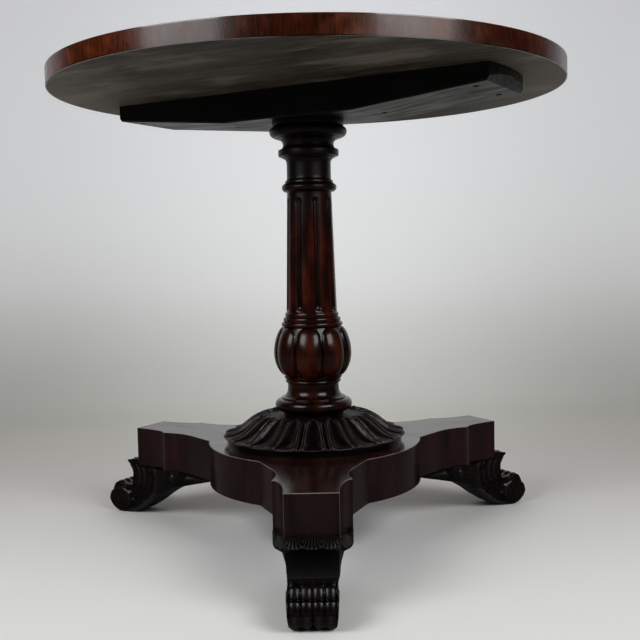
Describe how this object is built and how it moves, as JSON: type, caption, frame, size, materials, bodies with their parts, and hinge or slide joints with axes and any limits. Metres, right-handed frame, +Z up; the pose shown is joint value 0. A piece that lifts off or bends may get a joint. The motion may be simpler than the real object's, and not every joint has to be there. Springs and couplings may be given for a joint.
{
  "type": "pedestal table",
  "caption": "Round fixed-top table on a turned and carved pillar with a leaf-carved collar, a concave three-armed plinth and carved scroll feet.",
  "frame": {"origin": "on the floor under the pillar's axis", "axes": "+Z up along the pillar; -Y along the front arm; the other two arms at 30 and 150 degrees from +X"},
  "size_m": [0.796, 0.8082, 0.74],
  "materials": {
    "core_wood": "dull dark stain",
    "figured_veneer": "polished",
    "stained_wood": "dull dark stain",
    "carved_wood": "polished, waxed in the carving",
    "plinth_wood": "polished",
    "plinth_veneer": "polished",
    "pale_hardwood": "bare",
    "screw_steel": "old and dark"
  },
  "bodies": {
    "root": {"arm_dowels": "pale_hardwood", "bearer": "stained_wood", "bearer_end_screws": "screw_steel", "bearer_middle_screws": "screw_steel", "bearer_wedge": "pale_hardwood", "collar": "carved_wood", "collar_ring": "carved_wood", "end_veneer_front": "plinth_veneer", "end_veneer_left": "plinth_veneer", "end_veneer_right": "plinth_veneer", "foot_dowels": "pale_hardwood", "foot_front": "carved_wood", "foot_left": "carved_wood", "foot_right": "carved_wood", "foot_screws": "screw_steel", "lobe_veneer_back": "plinth_veneer", "lobe_veneer_front_left": "plinth_veneer", "lobe_veneer_front_right": "plinth_veneer", "pillar": "carved_wood", "plinth_arm_front": "plinth_wood", "plinth_arm_left": "plinth_wood", "plinth_arm_right": "plinth_wood", "plinth_block_back": "plinth_wood", "plinth_block_front_left": "plinth_wood", "plinth_block_front_right": "plinth_wood", "plinth_wedge": "pale_hardwood", "rim_veneer_1": "figured_veneer", "rim_veneer_2": "figured_veneer", "rim_veneer_3": "figured_veneer", "rim_veneer_4": "figured_veneer", "rim_veneer_5": "figured_veneer", "rim_veneer_6": "figured_veneer", "rim_veneer_7": "figured_veneer", "rim_veneer_8": "figured_veneer", "side_veneers_front": "plinth_veneer", "side_veneers_left": "plinth_veneer", "side_veneers_right": "plinth_veneer", "top_board_1": "core_wood", "top_board_2": "core_wood", "top_board_3": "core_wood", "top_board_4": "core_wood", "top_board_5": "core_wood", "top_veneer": "figured_veneer"}
  },
  "joints": []
}
